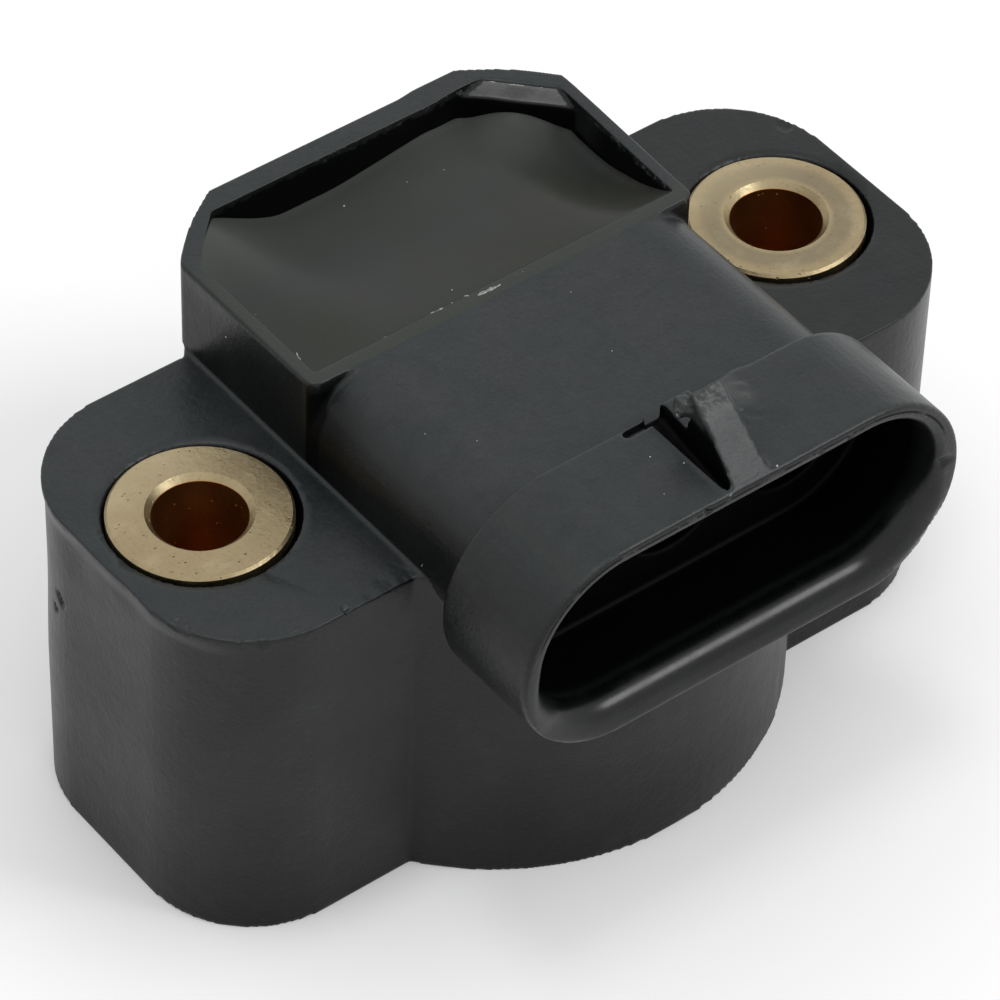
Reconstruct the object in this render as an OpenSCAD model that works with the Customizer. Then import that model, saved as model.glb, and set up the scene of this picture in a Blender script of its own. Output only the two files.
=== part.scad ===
// Rotary throttle position sensor: a moulded housing with two bolt ears and a
// three-way connector, and a sprung rotor that the throttle shaft turns.
// X runs through the two bolt holes, -Y is the connector mouth, Z is the shaft
// axis. The origin is on the shaft axis, in the mounting face.

/* [Mounting] */
// Distance between the two bolt holes
hole_spacing = 40; // [39.2:0.1:46]
// Radius of the clearance hole for the bolt
bolt_hole_r = 2.65; // [2.2:0.05:3.1]
// Outer radius of the brass bushing
bushing_r = 5.12; // [4.4:0.02:5.5]
// How far the bushing stands above the ear
bushing_proud = 0.2; // [0.05:0.05:0.5]
// Chamfer at each end of the bushing bore
bushing_chamfer = 0.35; // [0.1:0.05:0.6]
// Chamfer round the bushing's seat in the ear
seat_chamfer = 0.3; // [0.1:0.05:0.5]

/* [Ear plate] */
// Height of the ears and drum above the mounting face
plate_h = 22.7; // [21.5:0.1:26]
// Width of the ears
plate_w = 21.1; // [17:0.1:26]
// Distance from a bolt hole to the end of its ear
ear_reach = 6.35; // [6.2:0.05:9]
// Radius of the ear corners
ear_corner_r = 6.9; // [3:0.1:8]

/* [Drum] */
// Radius of the drum
drum_r = 17.2; // [16.7:0.1:18.4]
// Radius of the rotor chamber
chamber_r = 11.8; // [11.6:0.05:11.95]
// Height of the chamber ceiling above the mounting face
chamber_top = 17.5; // [16.5:0.1:18]
// Middle radius of the seal groove in the mounting face
groove_r = 13.3; // [13.15:0.05:13.45]
// Width of the seal groove
groove_w = 1.7; // [1.4:0.05:1.8]
// Depth of the seal groove
groove_depth = 1.4; // [1.2:0.05:1.6]

/* [Cap] */
// Height of the cap's top above the mounting face
cap_top = 28.7; // [28.2:0.1:30]
// Width of the cap and of the connector neck
cap_w = 26.3; // [25.6:0.1:27.6]
// Front face of the cap, from the shaft axis
cap_front = 0.8; // [0.5:0.1:1.5]
// Back face of the cap, from the shaft axis
cap_back = 15.1; // [14:0.1:16]
// Radius of the cap's front corners
cap_corner_r = 0.8; // [0.3:0.1:1.2]
// Thickness of the cap's side walls round the potting
rim_side = 0.85; // [0.6:0.05:1.2]
// Thickness of the cap's back wall
rim_back = 1.55; // [1:0.05:2]
// Thickness of the cap's front wall
rim_front = 0.95; // [0.7:0.05:1.3]
// Size of the bevels in the recess's back corners
recess_bevel = 3.1; // [2:0.1:4]
// Height of the recess floor above the mounting face
recess_floor = 21.6; // [21.2:0.1:22.2]
// How far the potting has sunk at the back wall
potting_sink = 2.8; // [0.8:0.1:3.2]

/* [Neck] */
// Radius of the neck's top edges
neck_top_r = 4.05; // [2:0.05:5]
// Radius of the neck's lower edges
neck_low_r = 5; // [2:0.1:6]
// Height of the neck's underside above the mounting face
neck_bottom = 18.6; // [17.5:0.1:19.4]

/* [Connector shroud] */
// Distance from the shaft axis to the mouth
mouth_reach = 21.45; // [20.8:0.05:24]
// Length of the shroud along the plug direction
shroud_len = 7.15; // [6.6:0.05:7.6]
// Width of the shroud
shroud_w = 29.4; // [28.6:0.1:31]
// Height of the shroud
shroud_h = 13.65; // [13.5:0.05:15]
// Height of the shroud's centre above the mounting face
shroud_z = 23.5; // [23.2:0.05:24]
// Rounding of the shroud's outer front edge
shroud_edge_r = 0.25; // [0.1:0.05:0.3]
// Height of the socket
socket_h = 10.6; // [10:0.05:10.8]
// How far the socket sits above the shroud's centre
socket_rise = 0.5; // [0.1:0.05:0.6]
// Depth of the wide part of the socket
socket_depth = 6.1; // [5:0.1:6.5]
// Rounding of the socket's mouth
mouth_lip_r = 0.5; // [0.3:0.05:0.55]

/* [Locking ramp] */
// Width of the locking ramp
ramp_w = 3.05; // [2:0.05:4]
// Length of the sloping face
ramp_len = 4.3; // [3:0.1:5]
// Height of the ramp above the shroud
ramp_h = 3.4; // [2:0.1:4]
// Height of the low rib behind the ramp
rib_h = 1.2; // [0.6:0.1:1.8]

/* [Terminals] */
// Distance between neighbouring terminals
pitch = 8.15; // [7.9:0.05:8.4]
// Radius of a terminal cavity
cavity_r = 3.3; // [2.8:0.05:3.5]
// Depth of a terminal cavity behind the socket's back wall
cavity_depth = 7.6; // [6:0.1:8]
// Radius of a terminal pin
pin_r = 0.8; // [0.6:0.05:1]
// Recess of the pin's tip in its cavity
tip_recess = 0.8; // [0.4:0.1:2]
// Width of the terminal's flat tail
tail_w = 2.6; // [2.2:0.1:3]
// Thickness of the terminal's flat tail
tail_t = 0.8; // [0.6:0.05:1]
// Distance from the shaft axis to the link pins
link_y = 6; // [5.9:0.05:6.1]
// Radius of a link pin
link_r = 0.6; // [0.4:0.05:0.7]

/* [Element board] */
// Radius of the element board
board_r = 11.4; // [11.2:0.05:11.5]
// Thickness of the element board
board_t = 1; // [0.8:0.1:1.4]

/* [Rotor] */
// Radius of the rotor hub
hub_r = 6; // [5.6:0.05:6.2]
// Recess of the rotor hub above the mounting face
hub_recess = 0.8; // [0.4:0.1:0.95]
// Radius of the rotor's shoulder
shoulder_r = 7.2; // [6.9:0.05:7.6]
// Radius of the rotor flange
flange_r = 9.6; // [9.4:0.05:9.8]
// Thickness of the rotor flange
flange_t = 2; // [1.6:0.1:2.4]
// Height of the flange's top above the mounting face
flange_top = 13.2; // [13:0.1:13.6]
// Radius of the rotor's upper pivot
pivot_r = 2; // [1.6:0.05:2.2]
// Radius of the drive socket
drive_r = 4.05; // [3.6:0.05:4.3]
// Distance from the axis to the drive socket's flat
drive_flat = 2.9; // [2.6:0.05:3.2]
// Depth of the drive socket
drive_depth = 9; // [7:0.1:9.4]
// Travel of the rotor
travel = 95; // [94:1:110]
// Half width of the rotor's stop lug
lug_half_w = 2; // [1.9:0.1:2.5]
// Half width of the housing's stops
stop_half_w = 1.5; // [1.3:0.1:1.8]

/* [Return spring] */
// Middle radius of the spring's coil
spring_r = 8.4; // [8.3:0.05:8.5]
// Diameter of the spring wire
wire_d = 0.9; // [0.6:0.05:1]
// Number of turns
spring_turns = 5; // [3:1:5]

/* [Retainer] */
// Thickness of the retainer's ring
retainer_t = 1.6; // [1.3:0.1:1.8]
// Recess of the retainer above the mounting face
retainer_recess = 1; // [0.6:0.1:1.2]
// Height of the retainer's collar above its ring
collar_h = 2.4; // [2:0.1:2.6]
// Wall of the retainer's collar
collar_t = 1.2; // [1:0.05:1.3]

/* [Fits] */
// Gap round pieces that are pressed, moulded or potted in
seat_gap = 0.02; // [0.01:0.01:0.04]
// Radial clearance of a turning fit
running_gap = 0.05; // [0.03:0.01:0.08]
// Clearance between parts that pass each other
pass_gap = 0.3; // [0.2:0.05:0.4]

/* [Hidden] */
$fn = 96;

// Colours of the finishes
black = [0.15, 0.16, 0.165];
brass = [0.72, 0.62, 0.46];
epoxy = [0.2, 0.2, 0.19];
tin = [0.78, 0.78, 0.76];
phenolic = [0.35, 0.2, 0.1];
nylon = [0.85, 0.84, 0.78];
steel = [0.6, 0.61, 0.62];
bronze = [0.75, 0.5, 0.3];
elastomer = [0.1, 0.1, 0.1];

// A cut runs this far past the face it opens
over = 1;
// Forms of one moulding run this far into each other
merge = 0.5;
// Height of the play above a piece that rests on another
rest_play = 0.1;

// Ears
hole_x = hole_spacing/2;
ear_x = hole_x + ear_reach;

// Shroud and socket
mouth_y = -mouth_reach;
shroud_back = mouth_y + shroud_len;
shroud_top = shroud_z + shroud_h/2;
socket_r = socket_h/2;
socket_z = shroud_z + socket_rise;
socket_back = mouth_y + socket_depth;
cavity_end = socket_back + cavity_depth;
shroud_end_x = shroud_w/2 - shroud_h/2;

// Recess in the cap
recess_x = cap_w/2 - rim_side;
recess_front = -cap_front + rim_front;
recess_back = cap_back - rim_back;
// Step of the potting's front edge below the cap's top
potting_step = 0.06;
// Run of the flat potting before it starts to sink
potting_flat = 1;

// Terminals: the flat tail ends this far past the link pin
tail_end_margin = 1.6;
tail_end = link_y + tail_end_margin;
tail_setback = 0.3;
tail_start = recess_front + tail_setback;
pin_tip_y = socket_back + tip_recess;
link_stand = 1.2;
link_top = socket_z + link_stand;

// Element board and upper bush
board_top = chamber_top - seat_gap;
board_bottom = board_top - board_t;
bush_wall = 1;
bush_r = pivot_r + running_gap + bush_wall;
bush_len = 3.4;
bush_drop = 0.2;
bush_bottom = board_bottom - bush_drop;
bush_top = bush_bottom + bush_len;
bush_end_gap = 0.3;
pivot_top = bush_top - bush_end_gap;

// Retainer and what seats on it
retainer_top = retainer_recess + retainer_t;
collar_top = retainer_top + collar_h;
journal_r = hub_r + running_gap;
collar_r = journal_r + collar_t;
seal_ring_t = 1.7;
seal_r = journal_r + seal_ring_t;
web_t = 0.5;
seal_h = retainer_t - web_t - rest_play;
washer_t = 0.5;
washer_gap = rest_play;
washer_bottom = collar_top + washer_gap;
shoulder_bottom = washer_bottom + washer_t + washer_gap;

// Rotor levels
flange_bottom = flange_top - flange_t;
drive_top = hub_recess + drive_depth;

// The wiper rests at this angle and turns forward from it
rest_angle = 270 - travel/2;
lug_tip_r = chamber_r - pass_gap;
stop_tip_r = flange_r + pass_gap;
// Least angle between lug and stop, and the margin left at each end of travel
stop_touch = asin((lug_half_w + stop_half_w)/stop_tip_r);
stop_margin = 0.6;
stop_offset = stop_touch + stop_margin;

// Wiper fingers
wiper_t = 0.3;
finger_tip_z = board_bottom - pass_gap;
finger_w = 0.7;

// Return spring
wire_r = wire_d/2;
spring_bottom = retainer_top + pass_gap + wire_r;
spring_top = flange_bottom - pass_gap - wire_r;
spring_pitch = (spring_top - spring_bottom)/spring_turns;
wire_sides = 8;
steps_per_turn = 24;
leg_len = 1.6;

// Drive clip
clip_t = 0.35;
clip_w = 3;
clip_h = 6;
clip_bow_r = 14;
clip_rise = 1.2;
clip_bottom = hub_recess + clip_rise;
clip_end = sqrt(pow(clip_bow_r - clip_t, 2) - pow(clip_h/2, 2));

// Spring path: the upper leg's angle, the legs' reach and the stations
leg_angle = 180;
leg_pocket = 0.9;
leg_reach = chamber_r + leg_pocket - pass_gap - spring_r;
spring_steps = steps_per_turn*spring_turns;

// Rotor's fixing studs for the wiper
stud_r = 0.6;
stud_rise = 0.4;
base_inner = 5;
base_outer = 9.2;
base_half = 1.5;

// Small slot beside the ramp at the shroud's back edge
slot_len = 1.6;
slot_w = 0.5;
slot_depth = 0.6;
slot_wall = 0.15;

// A square-cornered shape with one corner at (r, 0) rounded, for turned edges
module rounded_profile(r, len, edge) {
    translate([0, edge]) square([r, len - edge]);
    square([r - edge, len]);
    translate([r - edge, edge]) circle(edge);
}

// Turns a half profile, drawn as (radius, depth), round a stadium whose end
// centres lie at x = +-half. Depth runs along Z.
module stadium_turn(half) {
    for (side = [0, 180]) rotate([0, 0, side]) translate([half, 0, 0])
        rotate([0, 0, -90]) rotate_extrude(angle = 180) children();
    rotate([90, 0, 90]) linear_extrude(2*half, center = true) {
        children();
        mirror([1, 0]) children();
    }
}

// Turns the depth direction to +Y, starting at y, on a centre line at height z
module facing_front(y, z) {
    translate([0, y, z]) rotate([-90, 0, 0]) children();
}

// Outline of the ear plate, round-cornered, through both bolt holes
module plate_outline() {
    flat_x = ear_x - ear_corner_r;
    flat_y = plate_w/2 - ear_corner_r;
    square([2*flat_x, plate_w], center = true);
    square([2*ear_x, 2*flat_y], center = true);
    for (sx = [-1, 1], sy = [-1, 1])
        translate([sx*flat_x, sy*flat_y]) circle(ear_corner_r);
}

// Outline of the cap: a rectangle trimmed to the drum, front corners rounded
module cap_outline() {
    intersection() {
        circle(drum_r);
        union() {
            translate([-cap_w/2, cap_corner_r - cap_front])
                square([cap_w, cap_back + cap_front - cap_corner_r]);
            translate([cap_corner_r - cap_w/2, -cap_front])
                square([cap_w - 2*cap_corner_r, cap_back + cap_front]);
            for (side = [-1, 1])
                translate([side*(cap_w/2 - cap_corner_r), cap_corner_r - cap_front])
                    circle(cap_corner_r);
        }
    }
}

// Outline of the potting recess, with bevelled back corners
module recess_outline(inset = 0) {
    x = recess_x - inset;
    front = recess_front + inset;
    back = recess_back - inset;
    polygon([[-x, front], [x, front], [x, back - recess_bevel], [x - recess_bevel, back],
             [recess_bevel - x, back], [-x, back - recess_bevel]]);
}

// Section of the neck, drawn in X and Z
module neck_outline() {
    top_x = cap_w/2 - neck_top_r;
    low_x = cap_w/2 - neck_low_r;
    top_z = cap_top - neck_top_r;
    low_z = neck_bottom + neck_low_r;
    translate([-cap_w/2, low_z]) square([cap_w, top_z - low_z]);
    translate([-top_x, low_z]) square([2*top_x, cap_top - low_z]);
    translate([-low_x, neck_bottom]) square([2*low_x, low_z - neck_bottom]);
    for (side = [-1, 1]) {
        translate([side*top_x, top_z]) circle(neck_top_r);
        translate([side*low_x, low_z]) circle(neck_low_r);
    }
}

// Neck from the cap forward into the shroud
module neck() {
    rotate([90, 0, 0]) linear_extrude(over - shroud_back) neck_outline();
}

// Outer body of the connector shroud
module shroud_body() {
    facing_front(mouth_y, shroud_z) stadium_turn(shroud_end_x)
        rounded_profile(shroud_h/2, shroud_len, shroud_edge_r);
}

// Wedge that the plug's latch climbs, with the low rib behind it
module locking_ramp() {
    front = mouth_y + shroud_edge_r;
    crest = front + ramp_len;
    foot = shroud_top - merge;
    rotate([90, 0, 90]) linear_extrude(ramp_w, center = true)
        polygon([[front, foot], [front, shroud_top], [crest, shroud_top + ramp_h],
                 [crest, shroud_top + rib_h], [shroud_back, shroud_top + rib_h],
                 [shroud_back, foot]]);
}

// Small slot left of the ramp, at the shroud's back edge
module ramp_slot() {
    translate([-ramp_w/2 - slot_len, shroud_back - slot_wall - slot_w, shroud_top - slot_depth])
        cube([slot_len + slot_wall, slot_w, slot_depth + over]);
}

// Socket behind the mouth, with its rounded lip
module socket_cut() {
    facing_front(mouth_y, socket_z) stadium_turn(pitch) {
        translate([0, -over]) square([socket_r, socket_depth + over]);
        difference() {
            translate([0, -over]) square([socket_r + mouth_lip_r, over + mouth_lip_r]);
            translate([socket_r + mouth_lip_r, mouth_lip_r]) circle(mouth_lip_r);
        }
    }
}

// Three round cavities and the holes that hold the pins
module terminal_cuts() {
    for (i = [-1:1]) translate([i*pitch, 0, 0]) {
        translate([0, cavity_end, socket_z]) rotate([90, 0, 0])
            cylinder(r = cavity_r, h = cavity_depth + over);
        translate([0, recess_front + over, socket_z]) rotate([90, 0, 0])
            cylinder(r = pin_r + seat_gap, h = recess_front + 2*over - cavity_end);
        translate([0, link_y, chamber_top - over])
            cylinder(r = link_r + seat_gap, h = recess_floor - chamber_top + 2*over);
    }
}

// Rotor chamber with the seat for the upper bush and the spring leg's pocket
module chamber_cut() {
    translate([0, 0, -over]) cylinder(r = chamber_r, h = chamber_top + over);
    translate([0, 0, chamber_top - over])
        cylinder(r = bush_r + seat_gap, h = bush_top + seat_gap + over - chamber_top);
    translate([chamber_r - over, -wire_d, retainer_top])
        cube([over + leg_pocket, 2*wire_d, 2*wire_d + pass_gap]);
}

// Two ribs in the chamber that stop the rotor's lug and key the board
module stops() {
    for (angle = [rest_angle - 180 - stop_offset, rest_angle - 180 + travel + stop_offset])
        rotate([0, 0, angle]) translate([stop_tip_r, -stop_half_w, flange_bottom])
            cube([chamber_r + merge - stop_tip_r, 2*stop_half_w, chamber_top + merge - flange_bottom]);
}

// Seats of the two bushings, with the gap that shows round their tops
module bushing_seats() {
    for (side = [-1, 1]) translate([side*hole_x, 0, 0]) {
        translate([0, 0, -over]) cylinder(r = bushing_r + seat_gap, h = plate_h + 2*over);
        translate([0, 0, plate_h - seat_chamfer])
            cylinder(r1 = bushing_r, r2 = bushing_r + 2*seat_chamfer, h = 2*seat_chamfer);
    }
}

// Groove for the mounting seal
module seal_groove() {
    translate([0, 0, -over]) difference() {
        cylinder(r = groove_r + groove_w/2, h = groove_depth + over);
        translate([0, 0, -over]) cylinder(r = groove_r - groove_w/2, h = groove_depth + 3*over);
    }
}

// The one moulding that carries everything
module housing() {
    color(black) {
        difference() {
            union() {
                linear_extrude(plate_h) plate_outline();
                cylinder(r = drum_r, h = plate_h);
                linear_extrude(cap_top) cap_outline();
                neck();
                shroud_body();
                locking_ramp();
            }
            translate([0, 0, recess_floor]) linear_extrude(cap_top) recess_outline();
            chamber_cut();
            bushing_seats();
            seal_groove();
            socket_cut();
            terminal_cuts();
            ramp_slot();
        }
        stops();
    }
}

// Brass compression limiter, flush below and slightly proud of the ear
module bushing() {
    top = plate_h + bushing_proud;
    edge = 0.15;
    color(brass) rotate_extrude()
        polygon([[bolt_hole_r + bushing_chamfer, 0], [bushing_r - edge, 0], [bushing_r, edge],
                 [bushing_r, top - edge], [bushing_r - edge, top],
                 [bolt_hole_r + bushing_chamfer, top], [bolt_hole_r, top - bushing_chamfer],
                 [bolt_hole_r, bushing_chamfer]]);
}
module bushing_left() { translate([-hole_x, 0, 0]) bushing(); }
module bushing_right() { translate([hole_x, 0, 0]) bushing(); }

// Epoxy in the cap's recess. It is level with the rim in front and has sunk
// towards the back wall, along a large cylinder.
module potting_fill() {
    run = recess_back - recess_front - potting_flat;
    fall = potting_sink - potting_step;
    bend_r = (run*run + fall*fall)/(2*fall);
    bottom = recess_floor + seat_gap;
    top = cap_top - potting_step;
    color(epoxy) difference() {
        intersection() {
            translate([0, 0, bottom]) linear_extrude(top - bottom) recess_outline(seat_gap);
            union() {
                translate([-recess_x, 0, bottom])
                    cube([2*recess_x, recess_front + potting_flat, top - bottom]);
                translate([0, recess_front + potting_flat, top - bend_r]) rotate([0, 90, 0])
                    cylinder(r = bend_r, h = 2*recess_x, center = true);
            }
        }
        for (i = [-1:1]) translate([i*pitch, 0, 0]) {
            terminal_shape(seat_gap);
            link_pin_shape(seat_gap);
        }
    }
}

// One terminal, on its own middle plane: round pin in front, flat tail behind
module terminal_shape(grow = 0) {
    tip = 0.4;
    translate([0, tail_start + over, socket_z]) rotate([90, 0, 0]) rotate_extrude()
        polygon([[0, 0], [pin_r + grow, 0], [pin_r + grow, tail_start + over - pin_tip_y - tip],
                 [pin_r + grow - tip, tail_start + over - pin_tip_y],
                 [0, tail_start + over - pin_tip_y]]);
    translate([-tail_w/2 - grow, tail_start - grow, socket_z - tail_t/2 - grow])
        cube([tail_w + 2*grow, tail_end - tail_start + 2*grow, tail_t + 2*grow]);
}
module terminal(i) {
    color(tin) translate([i*pitch, 0, 0]) difference() {
        terminal_shape();
        translate([0, link_y, 0]) cylinder(r = link_r + seat_gap, h = cap_top);
    }
}
module terminal_supply() { terminal(-1); }
module terminal_signal() { terminal(0); }
module terminal_ground() { terminal(1); }

// Pin that is riveted over the terminal's tail and reaches the board
module link_pin_shape(grow = 0) {
    head_r = 1.1;
    head_h = 0.5;
    translate([0, link_y, board_bottom]) cylinder(r = link_r + grow, h = link_top - board_bottom);
    translate([0, link_y, socket_z + tail_t/2 + seat_gap - grow])
        cylinder(r = head_r + grow, h = head_h + 2*grow);
}
module link_pin(i) { color(tin) translate([i*pitch, 0, 0]) link_pin_shape(); }
module link_pin_supply() { link_pin(-1); }
module link_pin_signal() { link_pin(0); }
module link_pin_ground() { link_pin(1); }

// Disc that carries the resistive tracks, keyed by the two stop ribs
module element_board() {
    color(phenolic) difference() {
        translate([0, 0, board_bottom]) cylinder(r = board_r, h = board_t);
        cylinder(r = bush_r + pass_gap, h = cap_top);
        for (i = [-1:1]) translate([i*pitch, link_y, 0]) cylinder(r = link_r + seat_gap, h = cap_top);
        for (angle = [rest_angle - 180 - stop_offset, rest_angle - 180 + travel + stop_offset])
            rotate([0, 0, angle]) translate([stop_tip_r - pass_gap, -stop_half_w - pass_gap, 0])
                cube([drum_r, 2*(stop_half_w + pass_gap), cap_top]);
    }
}

// Bearing bush for the rotor's upper pivot
module pivot_bush() {
    color(bronze) translate([0, 0, bush_bottom]) difference() {
        cylinder(r = bush_r, h = bush_len);
        translate([0, 0, -over]) cylinder(r = pivot_r + running_gap, h = bush_len + 2*over);
    }
}

// D-shaped outline of the drive socket
module drive_outline() {
    intersection() {
        circle(drive_r);
        translate([-drive_r, -drive_r]) square([2*drive_r, drive_r + drive_flat]);
    }
}

// Moulded rotor: hub with drive socket, shoulder, flange with stop lug, pivot
module rotor() {
    clip_pocket = clip_t + seat_gap;
    color(nylon) {
        difference() {
            union() {
                rotate_extrude()
                    polygon([[0, hub_recess], [hub_r, hub_recess], [hub_r, shoulder_bottom],
                             [shoulder_r, shoulder_bottom], [shoulder_r, flange_bottom],
                             [flange_r, flange_bottom], [flange_r, flange_top],
                             [pivot_r, flange_top], [pivot_r, pivot_top], [0, pivot_top]]);
                rotate([0, 0, rest_angle - 180])
                    translate([flange_r - over, -lug_half_w, flange_bottom])
                        cube([lug_tip_r - flange_r + over, 2*lug_half_w, flange_t]);
            }
            linear_extrude(2*drive_top, center = true) drive_outline();
            translate([-clip_w/2 - seat_gap, 0, clip_bottom - seat_gap])
                cube([clip_w + 2*seat_gap, drive_flat + clip_pocket, clip_h + 2*seat_gap]);
            rotate([0, 0, leg_angle]) translate([spring_r, 0, flange_bottom - over])
                cylinder(r = wire_r + pass_gap, h = leg_len + over);
        }
        for (r = [base_inner + over, base_outer - over])
            rotate([0, 0, rest_angle]) translate([r, 0, flange_top - over])
                cylinder(r = stud_r, h = over + wiper_t + stud_rise);
    }
}

// Bowed leaf in the socket's flat that presses on the shaft
module drive_clip() {
    color(steel) translate([0, drive_flat + clip_t + clip_end, clip_bottom + clip_h/2])
        rotate([90, 0, 90]) linear_extrude(clip_w, center = true)
            intersection() {
                difference() {
                    circle(clip_bow_r);
                    circle(clip_bow_r - clip_t);
                }
                translate([-clip_bow_r - over, -clip_h/2]) square([clip_bow_r, clip_h]);
            }
}

// Stamped contact: a base on the rotor flange and two pairs of raised fingers
module wiper() {
    run = 3.6;
    shoe = 0.9;
    low = flange_top + seat_gap;
    color(bronze) rotate([0, 0, rest_angle]) {
        difference() {
            translate([base_inner, -base_half, low]) cube([base_outer - base_inner, 2*base_half, wiper_t]);
            for (r = [base_inner + over, base_outer - over])
                translate([r, 0, low - over]) cylinder(r = stud_r + seat_gap, h = 3*over);
        }
        for (r = [base_inner, base_inner + finger_w + pass_gap,
                  base_outer - 2*finger_w - pass_gap, base_outer - finger_w])
            translate([r, 0, 0]) rotate([90, 0, 90]) linear_extrude(finger_w)
                polygon([[base_half - wiper_t, low], [base_half, low],
                         [base_half + run, finger_tip_z - wiper_t],
                         [base_half + run + shoe, finger_tip_z - 2*wiper_t],
                         [base_half + run + shoe, finger_tip_z - wiper_t],
                         [base_half + run, finger_tip_z], [base_half - wiper_t, low + 2*wiper_t]]);
    }
}

// Points of one ring of the spring wire, at station k of the path
function spring_path(k) =
    k == 0 ? [spring_r + leg_reach, 0, spring_bottom] :
    k == spring_steps + 2 ? [spring_r*cos(leg_angle), spring_r*sin(leg_angle), flange_bottom + leg_len - pass_gap] :
    let (t = (k - 1)/spring_steps, a = t*(360*(spring_turns - 1) + leg_angle))
        [spring_r*cos(a), spring_r*sin(a), spring_bottom + t*(spring_top - spring_bottom)];
function unit(v) = v/norm(v);
function spring_dir(k) =
    unit(spring_path(min(k + 1, spring_steps + 2)) - spring_path(max(k - 1, 0)));
function spring_ring(k) =
    let (d = spring_dir(k),
         side = unit(cross(d, k > spring_steps ? [cos(leg_angle), sin(leg_angle), 0] : [0, 0, 1])),
         up = cross(side, d))
        [for (j = [0:wire_sides - 1]) let (a = 360*j/wire_sides)
            spring_path(k) + wire_r*(cos(a)*side + sin(a)*up)];

// Torsion spring, its lower leg in the housing and its upper leg in the rotor
module return_spring() {
    rings = spring_steps + 3;
    points = [for (k = [0:rings - 1]) each spring_ring(k)];
    walls = [for (k = [0:rings - 2], j = [0:wire_sides - 1])
        let (n = (j + 1)%wire_sides)
            [k*wire_sides + j, k*wire_sides + n, (k + 1)*wire_sides + n, (k + 1)*wire_sides + j]];
    first = [for (j = [0:wire_sides - 1]) wire_sides - 1 - j];
    last = [for (j = [0:wire_sides - 1]) (rings - 1)*wire_sides + j];
    color(steel) polyhedron(points, concat(walls, [first], [last]));
}

// Flat washer between the retainer's collar and the rotor's shoulder
module thrust_washer() {
    color(steel) translate([0, 0, washer_bottom]) difference() {
        cylinder(r = shoulder_r, h = washer_t);
        translate([0, 0, -over]) cylinder(r = hub_r + pass_gap, h = washer_t + 2*over);
    }
}

// Ring welded into the chamber mouth. Its collar is the hub's lower bearing.
module retainer() {
    color(black) rotate_extrude()
        polygon([[seal_r, retainer_recess], [chamber_r - seat_gap, retainer_recess],
                 [chamber_r - seat_gap, retainer_top], [collar_r, retainer_top],
                 [collar_r, collar_top], [journal_r, collar_top],
                 [journal_r, retainer_top - web_t], [seal_r, retainer_top - web_t]]);
}

// Lip seal round the hub, in the retainer's pocket
module shaft_seal() {
    low = retainer_recess + rest_play/2;
    lip = 0.4;
    inner = hub_r + pass_gap/2;
    color(elastomer) rotate_extrude()
        polygon([[seal_r - seat_gap, low], [seal_r - seat_gap, low + seal_h], [inner + lip, low + seal_h],
                 [inner, low + lip], [inner + lip/2, low], [inner + 2*lip, low + lip]]);
}

// Ring seal in the groove of the mounting face
module mounting_seal() {
    color(elastomer) translate([0, 0, groove_depth/2]) rotate_extrude()
        translate([groove_r, 0]) circle(groove_depth/2 - seat_gap);
}

housing();
bushing_left();
bushing_right();
potting_fill();
terminal_supply();
terminal_signal();
terminal_ground();
link_pin_supply();
link_pin_signal();
link_pin_ground();
element_board();
pivot_bush();
rotor();
drive_clip();
wiper();
return_spring();
thrust_washer();
retainer();
shaft_seal();
mounting_seal();
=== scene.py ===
import math
from collections import namedtuple

import bmesh
import bpy
from mathutils import Matrix, Vector, bvhtree, kdtree, noise


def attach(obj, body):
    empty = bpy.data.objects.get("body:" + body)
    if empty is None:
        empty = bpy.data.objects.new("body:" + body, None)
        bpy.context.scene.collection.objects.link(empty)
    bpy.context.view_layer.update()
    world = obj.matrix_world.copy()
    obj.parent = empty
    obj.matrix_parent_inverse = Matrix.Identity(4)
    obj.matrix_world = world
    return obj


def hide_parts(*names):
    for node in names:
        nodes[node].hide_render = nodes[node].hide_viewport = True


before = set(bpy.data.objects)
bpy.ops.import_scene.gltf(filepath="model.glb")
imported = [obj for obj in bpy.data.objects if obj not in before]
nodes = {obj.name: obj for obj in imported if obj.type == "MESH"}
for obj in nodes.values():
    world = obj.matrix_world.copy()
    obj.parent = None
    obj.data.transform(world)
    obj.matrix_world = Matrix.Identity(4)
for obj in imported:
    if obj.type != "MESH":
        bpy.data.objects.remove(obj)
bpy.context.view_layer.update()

# %% [markdown]
# # A throttle position sensor
# The object is a black moulding of about 53 by 39 by 34 mm. It has two ears with brass
# bushings, a round drum between them, a raised cap that is filled with epoxy, and a neck that
# ends in a wide connector mouth. The scene is in metres, and MM turns millimetres into metres,
# so that the numbers can be read as on a drawing.

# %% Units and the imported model
MM = 0.001

# %% [markdown]
# ## Camera
# A small object that is photographed from a third of a metre needs a long lens, or its near
# parts look too large. The camera could be placed by eye, but here its direction, distance and
# roll come from the outlines of the bushings, ears and connector in the picture. A matrix with
# the camera's three directions as columns places it exactly, and needs no constraint. PICTURE
# is the picture's width and FOCAL the focal length, both in pixels. SENSOR is in millimetres.

# %% Camera
AZIMUTH = math.radians(38.958)
ELEVATION = math.radians(44.736)
ROLL = math.radians(1.84)
DISTANCE = 0.32441
LOOK_AT = Vector((0.0018221, 0.0015419, 0.0096876))
PICTURE = 1000
MIDDLE = PICTURE/2
FOCAL = 5701.04
SENSOR = 36

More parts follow.
